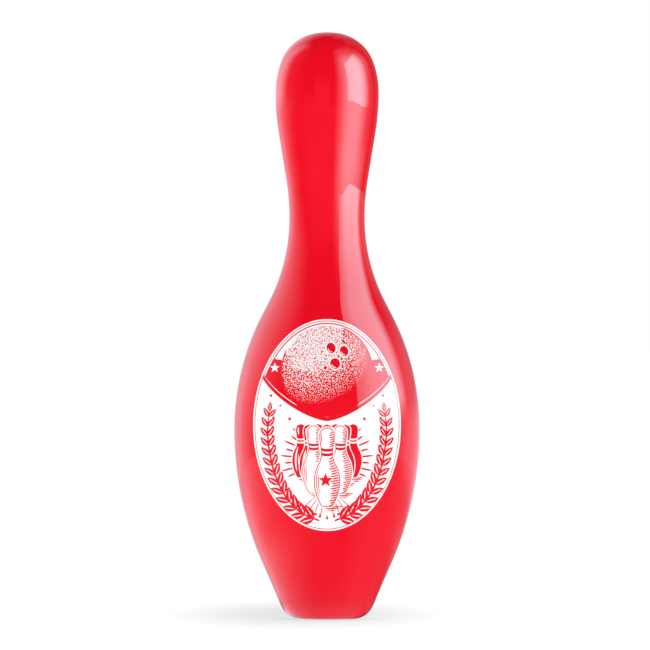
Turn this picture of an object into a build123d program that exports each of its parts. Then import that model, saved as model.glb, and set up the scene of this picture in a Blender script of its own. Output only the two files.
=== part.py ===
from build123d import *
import os
from math import acos, atan2, cos, hypot, pi, radians, sin
from typing import NamedTuple

# A plastic-coated maple tenpin, in millimetres.
# The origin is the centre of the base, on the surface that the pin stands on.
# +Z runs up the pin's axis and the printed side faces -Y.

# ---- Outside shape: widths at the belly, neck and head, and the arcs that join them ----
PIN_HEIGHT = 381.0
BELLY_RADIUS = 60.3
BELLY_HEIGHT = 123.1
BELLY_CURVE_BELOW = 213.0
BELLY_CURVE_ABOVE = 162.4
NECK_RADIUS = 24.45
NECK_HEIGHT = 260.6
NECK_CURVE_BELOW = 117.6
NECK_CURVE_ABOVE = 154.5
HEAD_RADIUS = 33.55
HEAD_HEIGHT = 342.2
HEAD_CURVE_BELOW = 165.0
HEAD_CURVE_ABOVE = 56.8
SHOULDER_CURVE = 28.4
SHOULDER_START = radians(20.8)
FOOT_FLAT_RADIUS = 17.5
FOOT_CORNER = 13.2
BASE_STANDOFF = 0.4

# ---- Coating ----
COATING_THICKNESS = 3.5

# ---- Base ring, let into the foot ----
RING_RADIUS = 16.0
RING_OPENING_RADIUS = 9.9
RING_FLANGE = BASE_STANDOFF + COATING_THICKNESS
RING_SKIRT_RADIUS = 13.0
RING_SKIRT_TOP = 12.0
RING_EDGE = 0.8

# ---- Laminated maple core ----
PLY_THICKNESS = 20.4
POST_PLIES = 3
POST_WIDTH = PLY_THICKNESS * POST_PLIES
WING_THICKNESS = 13.0
DRIVE_BORE_RADIUS = 6.35
DRIVE_BORE_DEPTH = 28.0
SLOT_WIDTH = 16.0
SLOT_LENGTH = 46.0
SLOT_HEIGHTS = (96.0, 158.0)

# ---- Ink film on the front of the belly ----
INK_THICKNESS = 0.15
PRINT_HEIGHT = 126.6
PRINT_HALF_WIDTH = 47.7
PRINT_HALF_HEIGHT = 68.2
BORDER_WIDTH = 1.0
KEYLINE_WIDTH = 0.5

UP = pi / 2
BEYOND = 2 * PIN_HEIGHT
SAME_POINT = 0.001


class Bend(NamedTuple):
    """An arc of the outline: its centre, its radius (negative where hollow) and its end directions."""

    r: float
    z: float
    radius: float
    start: float = 0.0
    end: float = 0.0

    def at(self, direction, inset):
        """The point that faces the given direction, on the outline moved inwards by inset."""
        reach = self.radius - inset
        return (self.r + reach * cos(direction), self.z + reach * sin(direction))


def shared_direction(lower, upper):
    """The direction that both arcs face where one straight line touches them."""
    across = upper.r - lower.r
    along = upper.z - lower.z
    slope = atan2(along, across)
    opening = acos((lower.radius - upper.radius) / hypot(across, along))
    folded = [(angle + pi) % (2 * pi) - pi for angle in (slope - opening, slope + opening)]
    return min(folded, key=abs)


def waist(radius, height, curve):
    """A bend whose widest or narrowest point is at the given radius and height."""
    return Bend(radius - curve, height, curve)


def shoulder_and_crown(head_top):
    """The tighter arc above the head's widest part, and the crown arc that closes it on the axis."""
    gap = head_top.radius - SHOULDER_CURVE
    r = head_top.r + gap * cos(SHOULDER_START)
    z = head_top.z + gap * sin(SHOULDER_START)
    drop = z - PIN_HEIGHT
    crown_radius = (SHOULDER_CURVE**2 - r**2 - drop**2) / (2 * (drop + SHOULDER_CURVE))
    crown_z = PIN_HEIGHT - crown_radius
    crown_start = atan2(z - crown_z, r)
    shoulder = Bend(r, z, SHOULDER_CURVE, SHOULDER_START, crown_start)
    crown = Bend(0, crown_z, crown_radius, crown_start, UP)
    return shoulder, crown


def pin_bends():
    """Every arc of the pin's half outline, from the foot to the crown."""
    foot = Bend(FOOT_FLAT_RADIUS, BASE_STANDOFF + FOOT_CORNER, FOOT_CORNER)
    belly_low = waist(BELLY_RADIUS, BELLY_HEIGHT, BELLY_CURVE_BELOW)
    belly_high = waist(BELLY_RADIUS, BELLY_HEIGHT, BELLY_CURVE_ABOVE)
    neck_low = waist(NECK_RADIUS, NECK_HEIGHT, -NECK_CURVE_BELOW)
    neck_high = waist(NECK_RADIUS, NECK_HEIGHT, -NECK_CURVE_ABOVE)
    head_low = waist(HEAD_RADIUS, HEAD_HEIGHT, HEAD_CURVE_BELOW)
    head_high = waist(HEAD_RADIUS, HEAD_HEIGHT, HEAD_CURVE_ABOVE)

    foot_taper = shared_direction(foot, belly_low)
    neck_taper = shared_direction(belly_high, neck_low)
    head_taper = shared_direction(neck_high, head_low)
    return [
        foot._replace(start=-UP, end=foot_taper),
        belly_low._replace(start=foot_taper),
        belly_high._replace(end=neck_taper),
        neck_low._replace(start=neck_taper),
        neck_high._replace(end=head_taper),
        head_low._replace(start=head_taper),
        head_high._replace(end=SHOULDER_START),
        *shoulder_and_crown(head_high),
    ]


def outline_edges(inset):
    """The half outline from the foot's flat to the axis, moved inwards by inset."""
    edges = []
    for bend in pin_bends():
        first = in_plane(bend.at(bend.start, inset))
        middle = in_plane(bend.at((bend.start + bend.end) / 2, inset))
        last = in_plane(bend.at(bend.end, inset))
        if edges and (Vector(first) - edges[-1] @ 1).length > SAME_POINT:
            edges.append(Line(edges[-1] @ 1, first))
        edges.append(ThreePointArc(first, middle, last))
    return edges


def in_plane(point):
    """A radius and height, as a point of the X-Z half plane."""
    return (point[0], 0, point[1])


def outline_ends(inset):
    """The first and last points of the half outline."""
    bends = pin_bends()
    return bends[0].at(-UP, inset), bends[-1].at(UP, inset)


def turned(edges):
    """The solid that a closed half outline sweeps about the pin's axis."""
    return revolve(make_face(Wire(edges)), axis=Axis.Z)


def filled_pin(inset):
    """The whole pin as one solid, moved inwards by inset."""
    foot, crown = outline_ends(inset)
    base = Line(in_plane((0, foot[1])), in_plane(foot))
    axis = Line(in_plane((0, crown[1])), in_plane((0, foot[1])))
    return turned([base, *outline_edges(inset), axis])


def skin(outer_inset, inner_inset, opening):
    """The layer between two insets, open below within the given radius."""
    outer_foot, outer_crown = outline_ends(outer_inset)
    inner_foot, inner_crown = outline_ends(inner_inset)
    outer_lip = (opening, outer_foot[1])
    inner_lip = (opening, inner_foot[1])
    edges = [
        Line(in_plane(outer_lip), in_plane(outer_foot)),
        *outline_edges(outer_inset),
        Line(in_plane(outer_crown), in_plane(inner_crown)),
        *outline_edges(inner_inset),
        Line(in_plane(inner_foot), in_plane(inner_lip)),
        Line(in_plane(inner_lip), in_plane(outer_lip)),
    ]
    return turned(edges)


def upright(radius, height):
    """A cylinder that stands on the floor, about the pin's axis."""
    return Cylinder(radius, height, align=(Align.CENTER, Align.CENTER, Align.MIN))


def ring_groove():
    """The groove in the foot that takes the base ring's skirt."""
    return upright(RING_RADIUS, RING_SKIRT_TOP) - upright(RING_SKIRT_RADIUS, RING_SKIRT_TOP)


def base_ring():
    """A flanged ring whose skirt is pressed up into a groove in the wood."""
    section = Polyline(
        in_plane((RING_OPENING_RADIUS, RING_EDGE)),
        in_plane((RING_OPENING_RADIUS + RING_EDGE, 0)),
        in_plane((RING_RADIUS - RING_EDGE, 0)),
        in_plane((RING_RADIUS, RING_EDGE)),
        in_plane((RING_RADIUS, RING_SKIRT_TOP)),
        in_plane((RING_SKIRT_RADIUS, RING_SKIRT_TOP)),
        in_plane((RING_SKIRT_RADIUS, RING_FLANGE)),
        in_plane((RING_OPENING_RADIUS, RING_FLANGE)),
        close=True,
    )
    return revolve(make_face(section), axis=Axis.Z)


def drive_bore():
    """The blind hole in the middle of the foot."""
    return upright(DRIVE_BORE_RADIUS, RING_FLANGE + DRIVE_BORE_DEPTH)


def weight_slots():
    """The two slots that bring the pin to its weight, each right through the middle ply."""
    slot = extrude(Plane.YZ * SlotOverall(SLOT_LENGTH, SLOT_WIDTH, rotation=90), PLY_THICKNESS, both=True)
    return [Pos(0, 0, height) * slot for height in SLOT_HEIGHTS]


def block(x, y):
    """A tall block of timber between two x and two y positions."""
    centre = Pos((x[0] + x[1]) / 2, (y[0] + y[1]) / 2, 0)
    return centre * Box(x[1] - x[0], y[1] - y[0], BEYOND)


def core_pieces():
    """The glued plies and wings, turned to shape: each is the part of the core in its own block."""
    core = filled_pin(COATING_THICKNESS) - ring_groove() - drive_bore()
    half_post = POST_WIDTH / 2
    half_ply = PLY_THICKNESS / 2
    across = (-half_post, half_post)
    everywhere = (-BEYOND, BEYOND)
    pieces = {
        "core_post_left": core & block((-half_post, -half_ply), across),
        "core_post_middle": core & block((-half_ply, half_ply), across),
        "core_post_right": core & block((half_ply, half_post), across),
    }
    for slot in weight_slots():
        pieces["core_post_middle"] -= slot

    glue_line = half_post + WING_THICKNESS
    for layer, span in (("inner", (half_post, glue_line)), ("outer", (glue_line, BEYOND))):
        mirrored = (-span[1], -span[0])
        pieces[f"core_wing_{layer}_left"] = core & block(mirrored, across)
        pieces[f"core_wing_{layer}_right"] = core & block(span, across)
        pieces[f"core_wing_{layer}_front"] = core & block(everywhere, mirrored)
        pieces[f"core_wing_{layer}_back"] = core & block(everywhere, span)
    return pieces


def front_prism(shrink):
    """An upright oval, run from the pin's axis out through its front, smaller all round by shrink."""
    oval = Ellipse(PRINT_HALF_WIDTH - shrink, PRINT_HALF_HEIGHT - shrink)
    return extrude(Plane.XZ * Pos(0, PRINT_HEIGHT) * oval, 2 * BELLY_RADIUS)


def print_pieces():
    """The white ink film: an oval border, and the field inside the border's keyline."""
    film = skin(-INK_THICKNESS, 0, RING_RADIUS)
    inside_border = front_prism(BORDER_WIDTH)
    return {
        "print_border": film & (front_prism(0) - inside_border),
        "print_field": film & front_prism(BORDER_WIDTH + KEYLINE_WIDTH),
    }


def all_pieces():
    """Every sub-part of the pin, by name."""
    return {
        "coating": skin(0, COATING_THICKNESS, RING_RADIUS),
        "base_ring": base_ring(),
        **core_pieces(),
        **print_pieces(),
    }


os.makedirs("parts", exist_ok=True)
for name, shape in all_pieces().items():
    export_step(shape, f"parts/{name}.step")
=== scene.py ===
from bisect import bisect_left
from math import atan2, ceil, cos, degrees, floor, hypot, pi, radians, sin, sqrt
from random import Random

import bpy
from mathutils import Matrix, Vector
from mathutils.geometry import delaunay_2d_cdt


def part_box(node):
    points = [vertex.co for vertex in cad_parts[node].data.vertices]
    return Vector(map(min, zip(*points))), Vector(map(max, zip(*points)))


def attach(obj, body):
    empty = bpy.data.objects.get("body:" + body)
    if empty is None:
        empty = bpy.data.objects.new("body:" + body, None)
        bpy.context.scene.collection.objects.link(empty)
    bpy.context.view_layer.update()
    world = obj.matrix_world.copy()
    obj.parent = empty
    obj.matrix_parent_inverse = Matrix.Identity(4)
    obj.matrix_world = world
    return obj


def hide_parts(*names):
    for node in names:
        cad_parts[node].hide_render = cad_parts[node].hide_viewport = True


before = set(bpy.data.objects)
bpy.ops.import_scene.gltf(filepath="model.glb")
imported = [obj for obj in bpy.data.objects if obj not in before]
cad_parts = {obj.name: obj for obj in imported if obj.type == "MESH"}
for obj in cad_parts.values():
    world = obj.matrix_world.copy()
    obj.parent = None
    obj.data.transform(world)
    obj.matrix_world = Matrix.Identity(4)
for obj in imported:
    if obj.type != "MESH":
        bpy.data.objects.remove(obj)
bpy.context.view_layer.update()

# A plastic-coated tenpin, in metres, in the frame of its CAD model: origin at the centre of the base,
# +Z up, print on the -Y side. The printed picture is drawn in millimetres from the print's centre.

MM = 0.001

# ---- Meshing ----
SEGMENTS = 180
KNOT_GAP = 3.2 * MM
RING_GAP = 1.7 * MM
INNER_KNOT_GAP = 6.0 * MM
NEARLY_LEVEL = 0.12
INK_SUNK = 0.04 * MM
INK_PROUD = 0.14 * MM

# How far apart the lines are that let the flat picture bend: an angle round the pin, and millimetres up it.
CURVE_STEP = radians(2.5)
CURVE_RISE = 4.0


# =====================================================================================
# Lines and outlines
# =====================================================================================

def through(points, step, before=None, after=None):
    """A smooth line through the points, divided so that no step is longer than the one given."""
    points = [Vector(p) for p in points]
    before = Vector(before) if before else 2 * points[0] - points[1]
    after = Vector(after) if after else 2 * points[-1] - points[-2]
    row = [before, *points, after]
    line = []
    for p0, p1, p2, p3 in zip(row, row[1:], row[2:], row[3:]):
        d0, d1, d2 = (p1 - p0).length, (p2 - p1).length, (p3 - p2).length
        leave = ((p1 - p0) / d0 * d1 + (p2 - p1) / d1 * d0) / (d0 + d1) * d1
        arrive = ((p2 - p1) / d1 * d2 + (p3 - p2) / d2 * d1) / (d1 + d2) * d1
        parts = max(1, ceil(d1 / step))
        for k in range(parts):
            t = k / parts
            a, b = (1 + 2 * t) * (1 - t) ** 2, t * (1 - t) ** 2
            c, d = t * t * (3 - 2 * t), t * t * (t - 1)
            line.append(a * p1 + b * leave + c * p2 + d * arrive)
    return [*line, points[-1]]


def thinned(points, gap):
    """The points without those closer than gap to the one kept before, but with both ends."""
    kept = [points[0]]
    for p in points[1:-1]:
        if (p - kept[-1]).length >= gap and (p - points[-1]).length >= gap / 2:
            kept.append(p)
    return [*kept, points[-1]]


def coating_rings():
    """Radius and height of every ring of the coating's CAD mesh: the outside's, then the inside's."""
    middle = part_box("coating")[1].z / 2
    outside, inside = {}, {}
    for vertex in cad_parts["coating"].data.vertices:
        x, y, z = vertex.co
        r = hypot(x, y)
        outward = (vertex.normal.x * x + vertex.normal.y * y) / max(r, MM)
        if abs(outward) < NEARLY_LEVEL:
            is_outside = (vertex.normal.z > 0) == (z > middle)
        else:
            is_outside = outward > 0
        rings = outside if is_outside else inside
        rings.setdefault(round(z / MM, 2), Vector((r, z)))
    return [[rings[z] for z in sorted(rings)] for rings in (outside, inside)]


LIP_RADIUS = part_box("base_ring")[1].x


def outline(rings, gap, step):
    """A smooth half outline from the opening's lip to the axis, through the CAD's own rings."""
    clear = [p for p in rings if p.x > LIP_RADIUS + MM or p.y > rings[-1].y / 2]
    knots = thinned(clear, gap)
    knots[-1].x = 0
    lip = Vector((LIP_RADIUS, knots[0].y))
    beyond = Vector((-knots[-2].x, knots[-2].y))
    return [lip, *through(knots, step, before=lip, after=beyond)]


outside_rings, inside_rings = coating_rings()
OUTSIDE = outline(outside_rings, KNOT_GAP, RING_GAP)
INSIDE = outline(inside_rings, INNER_KNOT_GAP, INNER_KNOT_GAP)
HEIGHTS = [p.y for p in OUTSIDE]


def radius_and_normal(z):
    """The pin's radius at a height, and its outward normal there as (radial, upward)."""
    i = min(max(bisect_left(HEIGHTS, z), 2), len(OUTSIDE) - 2)
    a, b = OUTSIDE[i - 1], OUTSIDE[i]
    t = (z - a.y) / (b.y - a.y)
    slope_a = (OUTSIDE[i] - OUTSIDE[i - 2]).normalized()
    slope_b = (OUTSIDE[i + 1] - OUTSIDE[i - 1]).normalized()
    slope = slope_a.lerp(slope_b, t).normalized()
    return a.x + t * (b.x - a.x), Vector((slope.y, -slope.x))


# =====================================================================================
# Materials
# =====================================================================================

DEEP_RED = (0.765, 0.0034, 0.0150)
LIGHT_RED = (0.805, 0.0044, 0.0178)
THIN_INK = (0.86, 0.85, 0.85)
FULL_INK = (0.90, 0.90, 0.90)
DULL_NYLON = (0.66, 0.64, 0.58)
PALE_NYLON = (0.76, 0.74, 0.68)
MID_MAPLE = (0.60, 0.41, 0.235)
PALE_MAPLE = (0.70, 0.505, 0.305)
DARK_MAPLE = (0.50, 0.325, 0.175)
GRAIN_SHADE = (0.80, 0.76, 0.70)


def node(tree, kind, inputs=None, **settings):
    """Adds a shader node. An input is a number, a colour or another node's output."""
    made = tree.nodes.new(kind)
    for name, value in settings.items():
        setattr(made, name, value)
    for name, value in (inputs or {}).items():
        if isinstance(value, bpy.types.NodeSocket):
            tree.links.new(value, made.inputs[name])
        else:
            made.inputs[name].default_value = value
    return made


def maths(tree, operation, a, b=0.0, c=0.0):
    return node(tree, "ShaderNodeMath", {0: a, 1: b, 2: c}, operation=operation).outputs[0]


def ramp(tree, value, stops):
    """Colours, or greys, along a value: stops are (place, colour)."""
    made = node(tree, "ShaderNodeValToRGB", {"Fac": value})
    elements = made.color_ramp.elements
    while len(elements) < len(stops):
        elements.new(0.5)
    for element, (place, colour) in zip(elements, stops):
        element.position = place
        element.color = (*colour, 1) if isinstance(colour, tuple) else (colour, colour, colour, 1)
    return made.outputs["Color"]


def noise(tree, place, scale, detail=2.0, roughness=0.5):
    inputs = {"Vector": place, "Scale": scale, "Detail": detail, "Roughness": roughness}
    return node(tree, "ShaderNodeTexNoise", inputs).outputs["Fac"]


def stretched(tree, scale, offset=(0, 0, 0)):
    """Object coordinates, scaled along each axis."""
    place = node(tree, "ShaderNodeTexCoord").outputs["Object"]
    return node(tree, "ShaderNodeMapping", {"Vector": place, "Scale": scale, "Location": offset}).outputs[0]


def ring_wave(tree, inputs):
    return node(tree, "ShaderNodeTexWave", inputs, wave_type="RINGS", rings_direction="Z").outputs["Fac"]


def bump(tree, height, strength, distance):
    inputs = {"Height": height, "Strength": strength, "Distance": distance}
    return node(tree, "ShaderNodeBump", inputs).outputs[0]


def material(name, build):
    """A material whose Principled shader is filled in by build(tree, shader)."""
    made = bpy.data.materials.new(name)
    made.use_nodes = True
    tree = made.node_tree
    tree.nodes.clear()
    shader = node(tree, "ShaderNodeBsdfPrincipled")
    tree.links.new(shader.outputs[0], node(tree, "ShaderNodeOutputMaterial").inputs[0])
    build(tree, shader)
    return made


def lacquer(shader):
    """The clear gloss coat that goes over plastic and ink alike."""
    shader.inputs["Coat Weight"].default_value = 1.0
    shader.inputs["Coat Roughness"].default_value = 0.025
    shader.inputs["Coat IOR"].default_value = 1.5
    shader.inputs["Specular IOR Level"].default_value = 0.0


def red_plastic(tree, shader):
    """Red ionomer: barely mottled, with the faint waviness of a sprayed gloss finish."""
    place = stretched(tree, (1, 1, 1))
    mottle = noise(tree, place, 38, 3)
    haze = noise(tree, place, 90, 2)
    wave = noise(tree, place, 150, 1)
    tree.links.new(ramp(tree, mottle, [(0.3, DEEP_RED), (0.7, LIGHT_RED)]), shader.inputs["Base Color"])
    tree.links.new(ramp(tree, haze, [(0.3, 0.30), (0.7, 0.38)]), shader.inputs["Roughness"])
    tree.links.new(bump(tree, wave, 0.10, 0.02 * MM), shader.inputs["Coat Normal"])
    lacquer(shader)


def white_ink(tree, shader):
    """Screen-printed white, a little uneven in density, under the same lacquer."""
    place = stretched(tree, (1, 1, 1))
    density = noise(tree, place, 900, 2)
    tree.links.new(ramp(tree, density, [(0.3, THIN_INK), (0.6, FULL_INK)]), shader.inputs["Base Color"])
    tree.links.new(ramp(tree, density, [(0.3, 0.5), (0.7, 0.4)]), shader.inputs["Roughness"])
    tree.links.new(bump(tree, density, 0.06, 0.01 * MM), shader.inputs["Normal"])
    lacquer(shader)


def natural_nylon(tree, shader):
    """Off-white nylon with fine turning marks round the pin's axis and a few scuffs."""
    place = stretched(tree, (1, 1, 1))
    cloud = noise(tree, place, 120, 3)
    tree.links.new(ramp(tree, cloud, [(0.35, DULL_NYLON), (0.65, PALE_NYLON)]), shader.inputs["Base Color"])
    marks = {"Vector": place, "Scale": 420, "Distortion": 0.6, "Detail": 1}
    rings = ring_wave(tree, marks)
    scuff = noise(tree, stretched(tree, (1, 3, 1)), 600, 4, 0.7)
    tree.links.new(ramp(tree, scuff, [(0.4, 0.42), (0.7, 0.62)]), shader.inputs["Roughness"])
    height = maths(tree, "ADD", rings, maths(tree, "MULTIPLY", scuff, 0.6))
    tree.links.new(bump(tree, height, 0.35, 0.03 * MM), shader.inputs["Normal"])


def maple(pith, turn):
    """Hard maple: growth rings about a pith outside the ply, fine grain and pores along the pin."""

    def build(tree, shader):
        log = node(tree, "ShaderNodeTexCoord").outputs["Object"]
        board = {"Location": (*pith, 0), "Rotation": (0, 0, turn), "Scale": (1, 1, 0.06)}
        place = node(tree, "ShaderNodeMapping", {"Vector": log, **board}).outputs[0]
        wobble = {"Vector": place, "Scale": 95, "Distortion": 2.2, "Detail": 3, "Detail Scale": 0.6}
        rings = ring_wave(tree, wobble)
        grain = noise(tree, stretched(tree, (420, 420, 9), (*pith, 0)), 1, 4, 0.6)
        pores = noise(tree, stretched(tree, (1500, 1500, 45), (*pith, 0)), 1, 2)
        wood = ramp(tree, rings, [(0.0, MID_MAPLE), (0.75, PALE_MAPLE), (1.0, DARK_MAPLE)])
        streak = ramp(tree, grain, [(0.35, GRAIN_SHADE), (0.65, (1.0, 1.0, 1.0))])
        mixed = node(tree, "ShaderNodeMix", {"Factor": 0.8}, data_type="RGBA", blend_type="MULTIPLY")
        tree.links.new(wood, mixed.inputs["A"])
        tree.links.new(streak, mixed.inputs["B"])
        tree.links.new(mixed.outputs["Result"], shader.inputs["Base Color"])
        tree.links.new(ramp(tree, grain, [(0.3, 0.62), (0.7, 0.5)]), shader.inputs["Roughness"])
        height = maths(tree, "ADD", grain, pores)
        tree.links.new(bump(tree, height, 0.3, 0.05 * MM), shader.inputs["Normal"])

    return build


# =====================================================================================
# Coating
# =====================================================================================

def new_piece(name, vertices, faces, look):
    mesh = bpy.data.meshes.new(name)
    mesh.from_pydata(vertices, [], faces)
    mesh.materials.append(look)
    mesh.shade_smooth()
    piece = bpy.data.objects.new(name, mesh)
    bpy.context.scene.collection.objects.link(piece)
    return piece


def turned_shell(name, outer, inner, look):
    """A closed skin of revolution between two half outlines that both end on the axis."""
    vertices, faces = [], []
    loop = [*reversed(inner[:-1]), *outer[:-1]]
    for p in loop:
        for k in range(SEGMENTS):
            angle = 2 * pi * k / SEGMENTS
            vertices.append((p.x * cos(angle), p.x * sin(angle), p.y))
    for row in range(len(loop) - 1):
        for k in range(SEGMENTS):
            a, b = row * SEGMENTS + k, row * SEGMENTS + (k + 1) % SEGMENTS
            faces.append((a, b, b + SEGMENTS, a + SEGMENTS))
    under, over = len(vertices), len(vertices) + 1
    vertices += [(0, 0, inner[-1].y), (0, 0, outer[-1].y)]
    last = (len(loop) - 1) * SEGMENTS
    for k in range(SEGMENTS):
        beside = (k + 1) % SEGMENTS
        faces.append((beside, k, under))
        faces.append((last + k, last + beside, over))
    return new_piece(name, vertices, faces, look)


def make_coating(look):
    shell = turned_shell("coating_shell", OUTSIDE, INSIDE, look)
    shell.data.set_sharp_from_angle(angle=radians(40))
    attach(shell, "root")
    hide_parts("coating")


# =====================================================================================
# The printed picture: shapes on a flat canvas, laid over each other in the order they are drawn
# =====================================================================================

INK, BARE = True, False
field_low, field_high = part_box("print_field")
PRINT_CENTRE_Z = (field_low.z + field_high.z) / 2
HALF_WIDE = (field_high.x - field_low.x) / 2 / MM
HALF_TALL = (field_high.z - field_low.z) / 2 / MM
INNER_RING = 0.9

BALL = Vector((0.0, 35.0))
BALL_RADIUS = 29.6
BALL_LIGHT = Vector((-0.34, 0.62, 0.71)).normalized()
DOT_PITCH = 1.18
DOT_COVER = sqrt(3) / (2 * pi)
BOWL_TOP = 43.0
BOWL_SIDE = 34.5
BOWL_BOTTOM = 2.6
BOWL_BEND = 1.45

canvas = []


def paint(points, ink):
    """Lays a shape over what is drawn so far: in white ink, or bare so that the coating shows."""
    points = [Vector(p) for p in points]
    turns = sum(a.x * b.y - b.x * a.y for a, b in zip(points, points[1:] + points[:1]))
    canvas.append((points if turns > 0 else points[::-1], ink))


def oval(centre, wide, tall, turn=0.0, steps=64):
    points = []
    for k in range(steps):
        angle = 2 * pi * k / steps
        x, y = wide * cos(angle), tall * sin(angle)
        across = x * cos(turn) - y * sin(turn)
        up = x * sin(turn) + y * cos(turn)
        points.append((centre[0] + across, centre[1] + up))
    return points


def brush(points, width, ink, start=0.15, end=0.15, step=1.2):
    """A brush stroke through the points, start and end being its relative width at its two ends."""
    line = through(points, step)
    left, right = [], []
    for k, p in enumerate(line):
        along = k / (len(line) - 1)
        swell = sin(pi * along) ** 0.6
        edge = start + (end - start) * along
        half = width / 2 * (edge + (1 - edge) * swell)
        ahead = line[min(k + 1, len(line) - 1)] - line[max(k - 1, 0)]
        side = Vector((-ahead.y, ahead.x)).normalized() * half
        left.append(p + side)
        right.append(p - side)
    paint([*right, *reversed(left)], ink)


def star(centre, size, ink, tips=5, waist=0.42, turn=0.0):
    points = []
    for k in range(2 * tips):
        reach = size if k % 2 == 0 else size * waist
        angle = pi / 2 + turn + pi * k / tips
        points.append((centre[0] + reach * cos(angle), centre[1] + reach * sin(angle)))
    paint(points, ink)


def leaf(foot, length, angle, fat=0.42):
    """A pointed leaf with a light midrib."""
    along = Vector((cos(angle), sin(angle)))
    across = Vector((-along.y, along.x)) * length * fat / 2
    foot = Vector(foot)
    shape = [(0, 0), (0.25, 0.85), (0.5, 1.0), (0.78, 0.62), (1, 0)]
    upper = through([foot + along * length * a + across * b for a, b in shape], 0.7)
    lower = through([foot + along * length * a - across * b for a, b in shape], 0.7)
    paint([*lower, *reversed(upper[1:-1])], BARE)
    brush([foot + along * length * 0.15, foot + along * length * 0.8], length * 0.06, INK)


def sprig(mirror):
    """A laurel branch that follows the border up one side, its leaves in pairs, with berries."""
    route = [(5, -61.5), (15.5, -57), (25.5, -47.5), (33, -33), (37, -17), (38.2, -2), (37, 9)]
    stem = [(mirror * u, v) for u, v in route]
    line = through(stem, 0.5)
    brush(stem, 1.3, BARE, start=0.9, end=0.3)
    for place in range(7, len(line) - 3, 13):
        ahead = line[min(place + 2, len(line) - 1)] - line[place - 2]
        heading = atan2(ahead.y, ahead.x)
        length = 11.0 - 4.2 * place / len(line)
        for side in (-1, 1):
            leaf(line[place], length, heading + side * radians(36))
        away = heading + mirror * pi / 2
        berry = line[place] + Vector((cos(away), sin(away))) * 3.1
        paint(oval(berry, 0.8, 0.8, steps=14), BARE)
    leaf(line[-2], 6.5, atan2(line[-1].y - line[-4].y, line[-1].x - line[-4].x))


def pin_radius(part):
    """The pin's own radius at a part of its height, as a share of the height."""
    part = min(max(part, 0.002), 0.9995)
    return radius_and_normal(part * HEIGHTS[-1])[0] / HEIGHTS[-1]


def on_pin(foot, height, reach, part, sag=0.0):
    """A place on a drawn pin: reach is a share of its half width, and sag bends level lines down."""
    bend = sag * sqrt(max(0.0, 1 - reach * reach))
    return Vector((foot[0] + reach * height * pin_radius(part), foot[1] + height * (part - bend)))


def pin_outline(foot, height, grown=0.0):
    """A drawn pin's closed outline, grown outwards by the given distance."""
    right = [on_pin(foot, height, 1, k / 44) for k in range(45)]
    body = [*right, *[Vector((2 * foot[0] - p.x, p.y)) for p in reversed(right)]]
    grown_body = []
    for k, p in enumerate(body):
        ahead = body[(k + 1) % len(body)] - body[k - 1]
        grown_body.append(p + Vector((ahead.y, -ahead.x)).normalized() * grown)
    return grown_body


def pin_band(foot, height, low, high, ink):
    """A stripe round a drawn pin."""
    around = [cos(pi * k / 14) for k in range(15)]
    below = [on_pin(foot, height, reach, low, 0.016) for reach in around]
    above = [on_pin(foot, height, reach, high, 0.016) for reach in around]
    paint([*below, *reversed(above)], ink)


def shading(foot, height, low, high, count, start, width):
    """Level strokes round the right side of a drawn pin, each thickening towards the edge."""
    for k in range(count):
        part = low + (high - low) * k / (count - 1)
        left = start + 0.1 * sin(2.4 * k)
        reaches = [left + (0.97 - left) * j / 5 for j in range(6)]
        brush([on_pin(foot, height, r, part, 0.03) for r in reaches], width, BARE, 0.05, 0.9, 1.5)


def light_pin(foot, height, emblem):
    """A pin in line on the light ground: outline, neck stripes and shading at its right."""
    fine = height / 50
    paint(pin_outline(foot, height, 1.3 * fine), INK)
    paint(pin_outline(foot, height, 0.55 * fine), BARE)
    paint(pin_outline(foot, height, -0.05 * fine), INK)
    shading(foot, height, 0.03, 0.63, 20, 0.30, 0.95 * fine)
    shading(foot, height, 0.79, 0.96, 7, 0.35, 0.8 * fine)
    for reach, low, high in ((-0.86, 0.10, 0.52), (-0.70, 0.15, 0.42), (-0.82, 0.80, 0.94)):
        steps = [on_pin(foot, height, reach, low + (high - low) * k / 6) for k in range(7)]
        brush(steps, 0.55 * fine, BARE, 0.1, 0.1)
    pin_band(foot, height, 0.655, 0.692, BARE)
    pin_band(foot, height, 0.715, 0.752, BARE)
    if emblem:
        star(on_pin(foot, height, -0.12, 0.33), 0.098 * height, BARE)


def dark_pin(foot, height):
    """A pin in solid, with light stripes and a light edge at its left."""
    fine = height / 50
    paint(pin_outline(foot, height, 0.9 * fine), INK)
    paint(pin_outline(foot, height, 0.2 * fine), BARE)
    pin_band(foot, height, 0.655, 0.685, INK)
    pin_band(foot, height, 0.715, 0.745, INK)
    gleams = ((-0.62, 0.12, 0.58, 1.5), (-0.55, 0.80, 0.95, 1.3), (-0.30, 0.24, 0.44, 0.6))
    for reach, low, high, width in gleams:
        steps = [on_pin(foot, height, reach, low + (high - low) * k / 8) for k in range(9)]
        brush(steps, width * fine, INK, 0.05, 0.05)


def ground(foot, reach):
    """Short strokes under a pin's foot, longer to the right, as its shadow."""
    for k, (left, right, drop) in enumerate(((0.6, 1.9, 0.0), (0.45, 1.6, 1.1), (0.1, 1.2, 2.2))):
        start = (foot[0] - left * reach, foot[1] - 0.2 - drop)
        middle = (foot[0] + (right - left) / 2 * reach, foot[1] - 0.6 - drop)
        end = (foot[0] + right * reach, foot[1] - 0.2 - drop)
        brush([start, middle, end], 0.95 - 0.15 * k, BARE, 0.1, 0.1)


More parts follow.
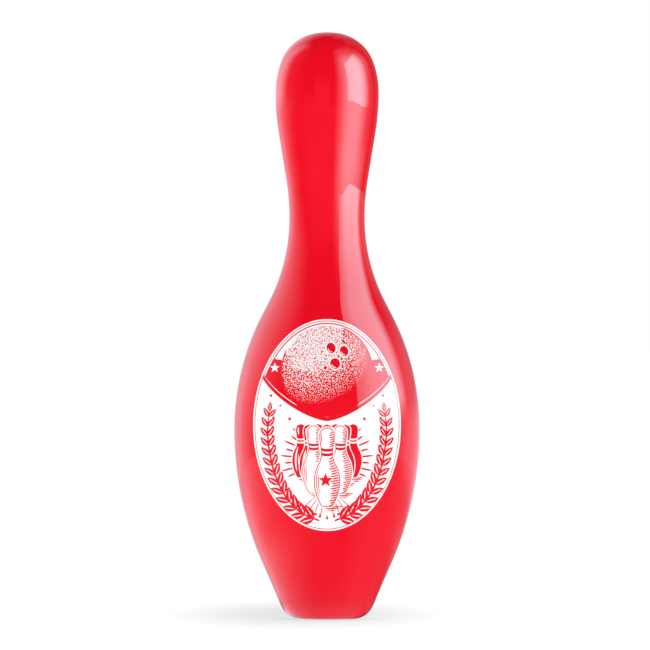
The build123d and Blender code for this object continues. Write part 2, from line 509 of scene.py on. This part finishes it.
def lane():
    """Boards of the lane running up to the pins, with a row of arrows across them."""
    for k in range(-4, 5):
        if k:
            top = Vector((1.9 * k, -46.0))
            bottom = Vector((4.3 * k, -59.5 + 0.55 * k * k / 2))
            brush([top, (top + bottom) / 2, bottom], 0.55, BARE, 0.2, 0.9)
    for k in range(-2, 3):
        tip = Vector((4.6 * k, -57.6 + 1.1 * abs(k)))
        paint([tip + Vector((-0.95, -3.0)), tip + Vector((0.95, -3.0)), tip], BARE)


def bowl_edge(drop=0.0):
    """The curved lower edge of the bare field behind the ball, from left to right."""
    span = HALF_WIDE - INNER_RING - 2.0 - drop
    depth = BOWL_SIDE - BOWL_BOTTOM - drop
    points = []
    for k in range(-40, 41):
        share = sin(pi / 2 * k / 40)
        level = BOWL_SIDE - depth * max(0.0, 1 - abs(share) ** BOWL_BEND) ** (1 / BOWL_BEND)
        points.append(Vector((share * span, level)))
    return points


def bowl():
    """The bare field behind the ball, with the inner ring at its sides and a shallow arc on top."""
    wide, tall = HALF_WIDE - INNER_RING, HALF_TALL - INNER_RING
    edge = bowl_edge()
    start = degrees(atan2(edge[-1].y / tall, edge[-1].x / wide))
    corner = degrees(atan2(BOWL_TOP / tall, sqrt(1 - (BOWL_TOP / tall) ** 2)))
    side = []
    for k in range(13):
        angle = radians(start + (corner - start) * k / 12)
        side.append(Vector((wide * cos(angle), tall * sin(angle))))
    arc = [pi * k / 16 for k in range(1, 16)]
    top = [Vector((side[-1].x * cos(a), BOWL_TOP - 2.2 * sin(a))) for a in arc]
    other = [Vector((-p.x, p.y)) for p in reversed(side)]
    paint([*edge, *side, *top, *other], BARE)
    brush([p + Vector((0, 2.0)) for p in bowl_edge(1.0)[8:-8:2]], 0.6, INK, 0.2, 0.2)


def upper_line():
    """A fine bare line just inside the border, over the ball."""
    wide, tall = HALF_WIDE - INNER_RING, HALF_TALL - INNER_RING
    angles = [radians(28 + 124 * k / 40) for k in range(41)]
    outer = [Vector((wide * cos(a), tall * sin(a))) for a in angles]
    inner = [Vector(((wide - 0.8) * cos(a), (tall - 0.8) * sin(a))) for a in angles]
    paint([*outer, *reversed(inner)], BARE)


def ball_tone(spot):
    """How much of the surface is bare at a spot on the ball: sparse where the light falls, solid below."""
    u, v = (spot - BALL) / BALL_RADIUS
    facing = sqrt(max(0.0, 1 - u * u - v * v))
    lit = max(0.0, BALL_LIGHT.dot(Vector((u, v, facing))))
    return min(max(1.08 - 0.74 * lit**0.9, 0.05), 1.0)


def ball_dots():
    """Places, sizes and turns for the stipple: a close grid, each dot nudged at random."""
    chance = Random(11)
    row_gap = DOT_PITCH * sqrt(3) / 2
    rows = ceil(BALL_RADIUS / row_gap)
    for row in range(-rows, rows + 1):
        for column in range(-rows, rows + 1):
            u = (column + 0.5 * (row % 2) + chance.uniform(-0.4, 0.4)) * DOT_PITCH
            v = row * row_gap + chance.uniform(-0.4, 0.4) * DOT_PITCH
            size, turn = chance.uniform(0.7, 1.3), chance.uniform(0, pi)
            if hypot(u, v) < BALL_RADIUS - 0.9:
                yield BALL + Vector((u, v)), size, turn


def shade_top(u):
    """How high above the ball's centre its shaded part reaches, at a distance across from the centre."""
    drop = sqrt(max(0.0, BALL_RADIUS**2 - u * u))
    v = -drop
    while v < drop and ball_tone(BALL + Vector((u, v))) >= 0.5:
        v += 0.2
    return min(v, drop)


def shade_shape():
    """The outline of the ball's shaded part: along the line of even tone, then round the lower rim."""
    reach = [BALL_RADIUS * k / 60 for k in range(-60, 61)]
    line = [Vector((u, shade_top(u))) for u in reach]
    line = [p for p in line if p.y > 0.05 - sqrt(max(0.0, BALL_RADIUS**2 - p.x * p.x))]
    start, end = atan2(line[-1].y, line[-1].x), atan2(line[0].y, line[0].x)
    if end > start:
        end -= 2 * pi
    angles = [start + (end - start) * k / 60 for k in range(1, 60)]
    rim = [Vector((cos(a), sin(a))) * BALL_RADIUS for a in angles]
    return [BALL + p for p in [*line, *rim]]


def ball():
    """A stippled ball with three finger holes, whose shaded side runs into the field behind it."""
    paint(oval(BALL, BALL_RADIUS, BALL_RADIUS, steps=120), INK)
    dark = []
    for spot, size, turn in ball_dots():
        tone = ball_tone(spot)
        if spot.y - BALL.y > shade_top(spot.x - BALL.x):
            dot = DOT_PITCH * sqrt(DOT_COVER * min(tone, 0.56)) * size
            paint(oval(spot, dot, dot, turn, 6), BARE)
        elif tone < 0.985:
            dark.append((spot, DOT_PITCH * sqrt(DOT_COVER * (1 - tone)) * size, turn))
    paint(shade_shape(), BARE)
    for spot, dot, turn in dark:
        paint(oval(spot, dot, dot, turn, 6), INK)
    for place, wide, tall in (((2.6, 14.6), 2.9, 3.5), ((11.0, 12.6), 2.7, 3.4), ((5.2, 4.6), 3.2, 3.5)):
        finger_hole(BALL + Vector(place), wide, tall)


def finger_hole(hole, wide, tall):
    """A hole in the ball, with a light rim and a light edge inside."""
    paint(oval(hole, wide + 0.9, tall + 0.9, 0.25, 40), INK)
    paint(oval(hole, wide, tall, 0.25, 40), BARE)
    inside = [(-0.72, -0.1), (-0.35, -0.62), (0.25, -0.76)]
    brush([hole + Vector((a * wide, b * tall)) for a, b in inside], 0.65, INK, 0.1, 0.1, 0.5)


def burst():
    """Strokes that fly out from behind the pins, long and short by turns."""
    centre = Vector((0, -22))
    for side in (-1, 1):
        for k in range(9):
            angle = radians(-24 + 9.5 * k)
            way = Vector((side * cos(angle), sin(angle)))
            reach = (27.5, 30.0)[k % 2]
            brush([centre + way * 22.5, centre + way * 25, centre + way * reach], 1.15, BARE, 0.9, 0.1)


def rack():
    """Ten pins as the bowler sees them: the back two rows solid, the front two rows in line."""
    for row, u_places in enumerate(((-16.8, -5.6, 5.6, 16.8), (-11.6, 0.0, 11.6))):
        foot, height = -33.5 - 3.8 * row, 34.0 + 3.5 * row
        for u in u_places:
            ground((u, foot), 3.5)
            dark_pin((u, foot), height)
    for u in (-8.6, 8.6):
        ground((u, -43.6), 4.5)
        light_pin((u, -43.6), 43.0, False)
    ground((0, -52.0), 5.5)
    light_pin((0, -52.0), 50.0, True)


def draw_picture():
    """Everything inside the border, from the back to the front."""
    paint(oval((0, 0), HALF_WIDE, HALF_TALL, steps=220), INK)
    bowl()
    upper_line()
    burst()
    for side in (-1, 1):
        star((side * 33.6, 36.8), 3.3, INK)
        star((side * 36.0, 19.0), 1.5, BARE)
        star((side * 24.0, 4.0), 1.6, BARE)
        star((side * 30.0, 12.5), 1.2, BARE, 4, 0.35)
        sprig(side)
    ball()
    lane()
    rack()


def guide_edges():
    """Lines across the canvas that let the flat picture bend round the belly."""
    points, edges = [], []
    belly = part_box("coating")[1].x / MM
    count = floor(degrees(atan2(HALF_WIDE, sqrt(belly**2 - HALF_WIDE**2))) / degrees(CURVE_STEP))
    for k in range(-count, count + 1):
        u = belly * sin(CURVE_STEP * k)
        reach = HALF_TALL * sqrt(max(0.0, 1 - (u / HALF_WIDE) ** 2))
        edges.append((len(points), len(points) + 1))
        points += [Vector((u, -reach)), Vector((u, reach))]
    for k in range(-floor(HALF_TALL / CURVE_RISE), floor(HALF_TALL / CURVE_RISE) + 1):
        v = CURVE_RISE * k
        reach = HALF_WIDE * sqrt(max(0.0, 1 - (v / HALF_TALL) ** 2))
        edges.append((len(points), len(points) + 1))
        points += [Vector((-reach, v)), Vector((reach, v))]
    return points, edges


def inked_triangles():
    """The canvas cut into triangles, keeping those whose topmost shape is ink."""
    points, edges = guide_edges()
    faces = []
    for shape, _ in canvas:
        faces.append(list(range(len(points), len(points) + len(shape))))
        points += shape
    cut = delaunay_2d_cdt(points, edges, faces, 1, 1e-4, True)
    spots, triangles, under = cut[0], cut[2], cut[5]
    kept = []
    for triangle, shapes in zip(triangles, under):
        if shapes and 0 in shapes and canvas[max(shapes)][1] == INK:
            kept.append(tuple(triangle))
    return spots, kept


def separated(triangles):
    """The triangles with new corner numbers, so that patches that meet at one point share none."""
    links = {}

    def root(corner):
        while links.setdefault(corner, corner) != corner:
            links[corner] = links[links[corner]]
            corner = links[corner]
        return corner

    across = {}
    for t, triangle in enumerate(triangles):
        for a, b in zip(triangle, triangle[1:] + triangle[:1]):
            across.setdefault((min(a, b), max(a, b)), []).append(t)
    for (a, b), sides in across.items():
        for t in sides[1:]:
            links[root((t, a))] = root((sides[0], a))
            links[root((t, b))] = root((sides[0], b))
    numbers, spots = {}, []
    renumbered = []
    for t, triangle in enumerate(triangles):
        corners = []
        for corner in triangle:
            key = root((t, corner))
            if key not in numbers:
                numbers[key] = len(spots)
                spots.append(corner)
            corners.append(numbers[key])
        renumbered.append(tuple(corners))
    return spots, renumbered


def on_belly(spot, lift):
    """Where a spot of the canvas lands on the front of the pin, lifted off its surface."""
    x, z = spot.x * MM, PRINT_CENTRE_Z + spot.y * MM
    radius, (outward, upward) = radius_and_normal(z)
    y = -sqrt(max(radius * radius - x * x, 0.0))
    normal = Vector((x / radius * outward, y / radius * outward, upward))
    return Vector((x, y, z)) + normal * lift


def make_print(look):
    """The inked picture as one closed film, as thick all over as the ink."""
    draw_picture()
    spots, triangles = inked_triangles()
    origin, triangles = separated(triangles)
    top = [on_belly(spots[i], INK_PROUD) for i in origin]
    bottom = [on_belly(spots[i], -INK_SUNK) for i in origin]
    count = len(top)
    edges = dict.fromkeys(edge for a, b, c in triangles for edge in ((a, b), (b, c), (c, a)))
    rims = [(a, b) for a, b in edges if (b, a) not in edges]
    faces = [*triangles]
    faces += [(c + count, b + count, a + count) for a, b, c in triangles]
    faces += [(b, a, a + count, b + count) for a, b in rims]
    film = new_piece("print_artwork", top + bottom, faces, look)
    film.data.set_sharp_from_angle(angle=radians(40))
    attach(film, "root")
    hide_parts("print_field")


# =====================================================================================
# Stage: floor, cards that only reflections see, lights and camera
# =====================================================================================

# How bright the backdrop and the floor are to the camera, and what they give to matt surfaces.
BACKDROP = 1.0
HORIZON_LIGHT = 1.10
ZENITH_LIGHT = 0.77
FLOOR_WHITE = 1.05
FLOOR_LIGHT = 1.44
FLOOR_REACH = 60.0

# The painted soft shadow on the floor, drawn into its glow and cast by no lamp: an ellipse whose centre is
# to the left of the pin and behind it.
SHADOW_LEFT = 0.015
SHADOW_BACK = 0.10
SHADOW_WIDTH = 0.125
SHADOW_DEPTH = 0.43
SHADOW_STRENGTH = 0.275
CONTACT_REACH = 0.015

# The floor by the foot, as the gloss sees it: how bright it is, how far out, and how soon it fades.
FOOT_GLOW = 0.4
FOOT_GLOW_AT = 0.0375
FOOT_GLOW_FADE = 0.014

# How bright the rest is that the gloss sees: a dark room, the floor, the walls and the lamps.
DARK_STUDIO = 0.004
FRONT_HAZE = 0.11
LEFT_FLOOR = 1.3
LEFT_LIGHT = 1.28
BEHIND = 0.78
WINDOW_LIGHT = 5.4
GLOW_LIGHT = 5.6
LAMP_COLOUR = (0.38, 1.0, 1.12, 1.0)
WALL_COLOUR = (0.85, 1.0, 1.13, 1.0)

# How far the cards that give those reflections stand from the pin's axis.
LEFT_WALL = 1.0
RIGHT_WALL = 0.9
WALL_FADE = 0.02
WALL_TOP = 2.25
WINDOW = 0.40
GLOW_CARD = 0.060
EDGE_CARD = 0.061
NECK_FLAG = 0.062
HEAD_FLAG = 0.063

CAMERA_DISTANCE = 6.0
CAMERA_HEIGHT = 0.191
CAMERA_ASIDE = -0.0013
FRAMED_WIDTH = 0.4220


def rise(tree, value, start, end):
    """0 up to start, 1 from end on, and a smooth change between; start may be the larger."""
    inputs = {"Value": value, "From Min": start, "From Max": end}
    return node(tree, "ShaderNodeMapRange", inputs, interpolation_type="SMOOTHSTEP").outputs[0]


def product(tree, *values):
    made = values[0]
    for value in values[1:]:
        made = maths(tree, "MULTIPLY", made, value)
    return made


def total(tree, *values):
    made = values[0]
    for value in values[1:]:
        made = maths(tree, "ADD", made, value)
    return made


def dimmed(tree, mask, share=1.0):
    """1 where the mask is 0, and less by the share where the mask is 1."""
    return maths(tree, "SUBTRACT", 1.0, product(tree, mask, share))


def diagonal(tree, a, b):
    """How far the point (a, b) is from (0, 0)."""
    return maths(tree, "SQRT", total(tree, product(tree, a, a), product(tree, b, b)))


def scene_place(tree):
    """Where a point of the stage is: its x, y, height, and azimuth in degrees from the camera's side,
    positive to the right."""
    place = node(tree, "ShaderNodeTexCoord").outputs["Object"]
    x, y, z = node(tree, "ShaderNodeSeparateXYZ", {0: place}).outputs
    azimuth = maths(tree, "DEGREES", maths(tree, "ARCTAN2", x, product(tree, y, -1.0)))
    return x, y, z, azimuth


def by_viewer(tree, seen, mirrored, soft):
    """One brightness for the camera, one for reflections in gloss, and one for all other light."""
    path = node(tree, "ShaderNodeLightPath").outputs
    to_camera = product(tree, path["Is Camera Ray"], maths(tree, "SUBTRACT", seen, soft))
    to_gloss = product(tree, path["Is Glossy Ray"], maths(tree, "SUBTRACT", mirrored, soft))
    return total(tree, to_camera, to_gloss, soft)


def studio_world():
    """White to the camera, soft light that is stronger from the sides than from above on matt surfaces,
    and a dark room with a faint haze in front in reflections."""
    world = bpy.data.worlds.new("studio")
    world.use_nodes = True
    world.cycles.sampling_method = "NONE"
    tree = world.node_tree
    tree.nodes.clear()
    way = node(tree, "ShaderNodeTexCoord").outputs["Generated"]
    y, z = node(tree, "ShaderNodeSeparateXYZ", {0: way}).outputs[1:]
    sky = {"Value": z, "From Min": 0.0, "From Max": 1.0, "To Min": HORIZON_LIGHT, "To Max": ZENITH_LIGHT}
    soft = node(tree, "ShaderNodeMapRange", sky).outputs[0]
    haze = product(tree, rise(tree, z, 0.45, 0.05), rise(tree, y, -0.3, -0.9), FRONT_HAZE)
    strength = by_viewer(tree, BACKDROP, total(tree, haze, DARK_STUDIO), soft)
    light = node(tree, "ShaderNodeBackground", {"Color": (1, 1, 1, 1), "Strength": strength})
    tree.links.new(light.outputs[0], node(tree, "ShaderNodeOutputWorld").inputs[0])
    bpy.context.scene.world = world


def glowing(name, build, colour=(1, 1, 1, 1)):
    """A material that only gives light, as strong as build(tree) says."""
    look = bpy.data.materials.new(name)
    look.use_nodes = True
    tree = look.node_tree
    tree.nodes.clear()
    glow = node(tree, "ShaderNodeEmission", {"Color": colour, "Strength": build(tree)})
    tree.links.new(glow.outputs[0], node(tree, "ShaderNodeOutputMaterial").inputs[0])
    return look


def front_of_floor(tree, away, azimuth):
    """How bright the gloss sees the floor in front: a faint haze, brighter by the foot and to the right."""
    aside = maths(tree, "ABSOLUTE", azimuth)
    haze = product(tree, rise(tree, aside, 95.0, 35.0), FRONT_HAZE)
    beyond = maths(tree, "SUBTRACT", away, FOOT_GLOW_AT)
    near = maths(tree, "EXPONENT", product(tree, beyond, -1 / FOOT_GLOW_FADE))
    ahead = product(tree, rise(tree, azimuth, -125.0, -85.0), rise(tree, azimuth, 84.0, 28.0))
    foot = product(tree, near, ahead, FOOT_GLOW)
    nearby = product(tree, rise(tree, away, 0.07, 0.15), rise(tree, away, 1.2, 0.3), 0.25)
    left = product(tree, rise(tree, azimuth, 20.0, -40.0), rise(tree, azimuth, -120.0, -70.0), nearby)
    span = product(tree, rise(tree, azimuth, 15.0, 60.0), rise(tree, azimuth, 125.0, 85.0))
    right = product(tree, span, rise(tree, away, 1.2, 0.3), rise(tree, away, 0.015, 0.045), 0.26)
    return total(tree, haze, foot, left, right)


def sides_of_floor(tree, away, azimuth):
    """How bright the gloss sees the floor at the sides and behind, as far as the light walls."""
    further_back = product(tree, rise(tree, away, 0.08, 0.18), 34.0)
    left = rise(tree, total(tree, azimuth, further_back), -10.0, -105.0)
    cut = total(tree, product(tree, rise(tree, away, 0.20, 0.08), 0.3), 0.4)
    sooner = maths(tree, "SUBTRACT", azimuth, product(tree, rise(tree, away, 0.09, 0.05), 24.0))
    edge = dimmed(tree, rise(tree, sooner, -122.0, -152.0), cut)
    as_far_as = rise(tree, away, LEFT_WALL + WALL_FADE, LEFT_WALL - WALL_FADE)
    left = product(tree, left, edge, as_far_as, LEFT_FLOOR)
    near_step = product(tree, rise(tree, away, 0.08, 0.25), 0.24)
    far_step = product(tree, rise(tree, away, 0.35, 0.85), 0.45)
    steps = total(tree, near_step, 0.11, far_step)
    behind = product(tree, rise(tree, azimuth, 150.0, 180.0), BEHIND)
    right = maths(tree, "MAXIMUM", product(tree, rise(tree, azimuth, 80.0, 125.0), steps), behind)
    right = product(tree, right, rise(tree, away, RIGHT_WALL + WALL_FADE, RIGHT_WALL - WALL_FADE))
    return total(tree, left, right)


def floor_light(tree):
    """A white floor with a painted soft shadow that lies longer to the left, and painted shade where the
    pin touches it.
    The gloss of the pin sees it bright at the left and fading away from the foot elsewhere."""
    x, y, _, azimuth = scene_place(tree)
    away = diagonal(tree, x, y)

    wide = product(tree, total(tree, x, SHADOW_LEFT), 1 / SHADOW_WIDTH)
    deep = product(tree, maths(tree, "SUBTRACT", y, SHADOW_BACK), 1 / SHADOW_DEPTH)
    # painted shadow: an elliptical darkening set by the floor's own coordinates, cast by no lamp
    shadow = product(tree, rise(tree, diagonal(tree, wide, deep), 1.0, 0.0), SHADOW_STRENGTH)
    # painted contact shade: the floor's glow darkens by ambient occlusion right where the pin stands
    contact_shade = node(tree, "ShaderNodeAmbientOcclusion", {"Distance": CONTACT_REACH}, samples=8)
    contact_shade = maths(tree, "POWER", maths(tree, "MAXIMUM", contact_shade.outputs["AO"], 0.3), 0.1)
    seen = product(tree, dimmed(tree, shadow), contact_shade, FLOOR_WHITE)
    # the light the floor gives matt surfaces is dimmed under the painted shadow too
    soft = product(tree, dimmed(tree, shadow, 1.3), FLOOR_LIGHT)

    mirrored = total(tree, front_of_floor(tree, away, azimuth), sides_of_floor(tree, away, azimuth))
    # painted shade in reflections: the gloss sees the floor darker right by the foot
    under = total(tree, product(tree, rise(tree, away, 0.020, 0.033), 0.7), 0.3)
    return by_viewer(tree, seen, product(tree, mirrored, under), soft)


def first(tree, kind):
    """The first node of a kind."""
    return next(n for n in tree.nodes if n.bl_idname == kind)


def tinted_in_gloss(look):
    """Gives the floor the walls' tint where the gloss of the pin sees it."""
    tree = look.node_tree
    glow = first(tree, "ShaderNodeEmission")
    mirrored = node(tree, "ShaderNodeLightPath").outputs["Is Glossy Ray"]
    colour = ramp(tree, mirrored, [(0.0, (1.0, 1.0, 1.0)), (1.0, WALL_COLOUR[:3])])
    tree.links.new(colour, glow.inputs["Color"])
    return look


def pale_floor():
    corners = [(x * FLOOR_REACH, y * FLOOR_REACH, 0) for x, y in ((-1, -1), (1, -1), (1, 1), (-1, 1))]
    look = tinted_in_gloss(glowing("white_floor", floor_light))
    new_piece("floor", corners, [(0, 1, 2, 3)], look)


def arc_card(name, radius, azimuths, heights, look):
    """A curved card about the pin's axis that only glossy reflections see."""
    vertices, faces = [], []
    parts = 48
    for k in range(parts + 1):
        azimuth = radians(azimuths[0] + (azimuths[1] - azimuths[0]) * k / parts)
        for height in heights:
            vertices.append((radius * sin(azimuth), -radius * cos(azimuth), height))
        if k:
            faces.append((2 * k - 2, 2 * k, 2 * k + 1, 2 * k - 1))
    card = new_piece(name, vertices, faces, look)
    card.visible_camera = card.visible_diffuse = card.visible_shadow = False
    card.visible_transmission = card.visible_volume_scatter = False


def window_light(tree):
    """A softbox at the right, crisp at its near edge and growing brighter, soft at its far and lower
    edges."""
    z, azimuth = scene_place(tree)[2:]
    leaning = total(tree, azimuth, product(tree, rise(tree, z, 0.28, 0.4), 3.5))
    sides = product(tree, rise(tree, leaning, 36.2, 37.2), rise(tree, azimuth, 118.0, 94.0))
    shade = total(tree, product(tree, rise(tree, leaning, 36.0, 64.0), 0.55), 0.45)
    return product(tree, sides, shade, rise(tree, z, 0.13, 0.21), WINDOW_LIGHT)


def glow_light(tree):
    """A soft vertical streak beside the head and neck."""
    z, azimuth = scene_place(tree)[2:]
    sides = product(tree, rise(tree, azimuth, 11.0, 43.0), rise(tree, azimuth, 105.0, 46.0))
    quick = product(tree, rise(tree, z, 0.42, 0.375), 0.7)
    slow = product(tree, rise(tree, z, 0.51, 0.38), 0.3)
    ends = product(tree, rise(tree, z, 0.235, 0.285), total(tree, quick, slow))
    by_the_head = product(tree, rise(tree, z, 0.275, 0.315), rise(tree, z, 0.385, 0.35))
    narrower = dimmed(tree, product(tree, by_the_head, rise(tree, azimuth, 56.0, 84.0)), 0.75)
    return product(tree, sides, ends, narrower, GLOW_LIGHT)


def left_light(tree):
    """A white wall behind the left side, whose inner edge is soft and lies further back low down."""
    z, azimuth = scene_place(tree)[2:]
    shift = product(tree, rise(tree, z, 0.6, 0.05), 26.0)
    inner = rise(tree, total(tree, azimuth, shift), -45.0, -122.0)
    edge = dimmed(tree, rise(tree, azimuth, -132.0, -160.0), 0.38)
    return product(tree, inner, edge, rise(tree, z, 2.2, 1.2), LEFT_LIGHT)


def right_light(tree):
    """A dim white wall behind the right side, dimmer still towards its top and the back."""
    z, azimuth = scene_place(tree)[2:]
    foot = product(tree, rise(tree, z, 0.24, 0.11), 0.42)
    upright = product(tree, rise(tree, z, 0.75, 0.25), 0.5)
    back = product(tree, rise(tree, azimuth, 122.0, 155.0), rise(tree, z, 0.12, 0.24))
    side = product(tree, total(tree, foot, upright), dimmed(tree, back, 0.4))
    behind = product(tree, rise(tree, azimuth, 150.0, 180.0), rise(tree, z, 2.2, 1.2), BEHIND)
    return maths(tree, "MAXIMUM", product(tree, rise(tree, azimuth, 84.0, 116.0), side), behind)


def head_edge_light(tree):
    """What the left of the head shows instead of the wall: a narrower edge, gone at the crown."""
    z, azimuth = scene_place(tree)[2:]
    broad = product(tree, rise(tree, azimuth, -38.0, -85.0), 0.27)
    narrow = product(tree, rise(tree, azimuth, -72.0, -97.0), 1.85)
    edge = dimmed(tree, rise(tree, azimuth, -98.0, -122.0), 0.4)
    behind = dimmed(tree, rise(tree, azimuth, -130.0, -180.0), 0.6)
    left = product(tree, total(tree, broad, narrow), edge, behind, rise(tree, azimuth, 0.0, -30.0))
    right = product(tree, rise(tree, azimuth, 152.0, 180.0), 0.48)
    return product(tree, total(tree, left, right), rise(tree, z, 0.50, 0.39))


def see_through(look):
    """Lets a glowing material add its light to whatever is behind it."""
    tree = look.node_tree
    glow = first(tree, "ShaderNodeEmission").outputs[0]
    clear = node(tree, "ShaderNodeBsdfTransparent").outputs[0]
    both = node(tree, "ShaderNodeAddShader", {0: glow, 1: clear})
    tree.links.new(both.outputs[0], first(tree, "ShaderNodeOutputMaterial").inputs[0])
    return look


def covering(look, cover):
    """Lets a glowing material hide what is behind it only as far as cover(tree) says."""
    tree = look.node_tree
    glow = first(tree, "ShaderNodeEmission").outputs[0]
    clear = node(tree, "ShaderNodeBsdfTransparent").outputs[0]
    mixed = node(tree, "ShaderNodeMixShader", {0: cover(tree), 1: clear, 2: glow})
    tree.links.new(mixed.outputs[0], first(tree, "ShaderNodeOutputMaterial").inputs[0])
    return look


def head_edge_cover(tree):
    """The narrower edge takes over gradually above the neck, and ends gradually behind the right side."""
    z, azimuth = scene_place(tree)[2:]
    left = rise(tree, azimuth, 0.0, -1.0)
    right = rise(tree, azimuth, 153.0, 172.0)
    return product(tree, rise(tree, z, 0.325, 0.345), maths(tree, "MAXIMUM", left, right))


def head_flag_cover(tree):
    """Everything but an opening with cut upper corners and a soft right side."""
    z, azimuth = scene_place(tree)[2:]
    left_cut = product(tree, maths(tree, "MAXIMUM", maths(tree, "SUBTRACT", z, 0.382), 0.0), 1250.0)
    right_cut = product(tree, maths(tree, "MAXIMUM", maths(tree, "SUBTRACT", z, 0.378), 0.0), 250.0)
    from_left = rise(tree, maths(tree, "SUBTRACT", azimuth, left_cut), 34.0, 36.0)
    from_right = rise(tree, total(tree, azimuth, right_cut), 88.0, 60.0)
    closed = dimmed(tree, product(tree, from_left, from_right))
    return product(tree, closed, rise(tree, azimuth, 172.0, 135.0))


def neck_flag_cover(tree):
    """A band whose lower edge dips at its left end and whose upper edge falls to the right."""
    z, azimuth = scene_place(tree)[2:]
    dip = product(tree, rise(tree, azimuth, 58.0, 32.0), 0.0050)
    fall = product(tree, rise(tree, azimuth, 38.0, 72.0), 0.0044)
    above = rise(tree, total(tree, z, dip), 0.2732, 0.2738)
    below = rise(tree, total(tree, z, fall), 0.3347, 0.3341)
    return product(tree, above, below, rise(tree, azimuth, 172.0, 135.0))


def faint_light(tree):
    """The flags are black at their near end and lighter towards the far one."""
    azimuth = scene_place(tree)[3]
    near = product(tree, rise(tree, azimuth, 70.0, 95.0), 0.06)
    return total(tree, near, product(tree, rise(tree, azimuth, 100.0, 125.0), 0.12))


def reflections():
    """The light shapes that the gloss of the pin shows, and the flags that break the tall one."""
    window = see_through(glowing("card_window", window_light, LAMP_COLOUR))
    glow = see_through(glowing("card_glow", glow_light, LAMP_COLOUR))
    left = see_through(glowing("card_left", left_light, WALL_COLOUR))
    right = see_through(glowing("card_right", right_light, WALL_COLOUR))
    head_edge = covering(glowing("card_head_edge", head_edge_light, WALL_COLOUR), head_edge_cover)
    neck_flag = covering(glowing("flag_neck", faint_light), neck_flag_cover)
    head_flag = covering(glowing("flag_head", faint_light), head_flag_cover)
    arc_card("card_window", WINDOW, (31, 120), (0.13, 0.82), window)
    arc_card("card_left", LEFT_WALL, (-180, -19), (0.001, WALL_TOP), left)
    arc_card("card_right", RIGHT_WALL, (83, 180), (0.001, WALL_TOP), right)
    arc_card("card_glow", GLOW_CARD, (10, 106), (0.234, 0.551), glow)
    arc_card("card_head_edge", EDGE_CARD, (-208, -20), (0.325, 0.60), head_edge)
    arc_card("flag_neck", NECK_FLAG, (22, 175), (0.265, 0.3360), neck_flag)
    arc_card("flag_head", HEAD_FLAG, (5, 175), (0.3290, 0.47), head_flag)


def soft_light():
    """A weak broad light from the upper right, for a little form on matt surfaces."""
    data = bpy.data.lights.new("soft_light", "AREA")
    data.shape = "RECTANGLE"
    data.size, data.size_y = 1.2, 1.2
    data.energy = 1.5
    light = bpy.data.objects.new("soft_light", data)
    light.location = (1.2, -1.6, 1.3)
    light.rotation_mode = "QUATERNION"
    light.rotation_quaternion = light.location.to_track_quat("Z", "Y")
    light.visible_glossy = light.visible_camera = False
    bpy.context.scene.collection.objects.link(light)


def camera():
    """Level with the middle of the pin and far away, through a long lens."""
    data = bpy.data.cameras.new("camera")
    view = bpy.data.objects.new("camera", data)
    data.sensor_width = 36.0
    data.lens = data.sensor_width * CAMERA_DISTANCE / FRAMED_WIDTH
    data.clip_start, data.clip_end = 0.1, 200
    view.location = (CAMERA_ASIDE, -CAMERA_DISTANCE, CAMERA_HEIGHT)
    view.rotation_euler = (pi / 2, 0, 0)
    bpy.context.scene.collection.objects.link(view)
    bpy.context.scene.camera = view


def stage():
    studio_world()
    pale_floor()
    reflections()
    soft_light()
    camera()


# =====================================================================================
# Assembly
# =====================================================================================

def dress(name, look):
    """Gives a CAD node its finish."""
    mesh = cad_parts[name].data
    mesh.materials.clear()
    mesh.materials.append(look)


def dress_core():
    """Each ply and wing is cut from its own board, so its rings have their own centre and turn."""
    chance = Random(5)
    for name in sorted(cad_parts):
        if name.startswith("core_"):
            pith = (chance.uniform(-0.12, 0.12), chance.choice((-1, 1)) * chance.uniform(0.05, 0.14))
            dress(name, material("maple_" + name[len("core_"):], maple(pith, chance.uniform(0, pi))))


ink = material("white_ink", white_ink)
make_coating(material("red_plastic", red_plastic))
make_print(ink)
dress("print_border", ink)
dress("base_ring", material("natural_nylon", natural_nylon))
dress_core()
stage()
bpy.context.scene.view_settings.view_transform = "Standard"
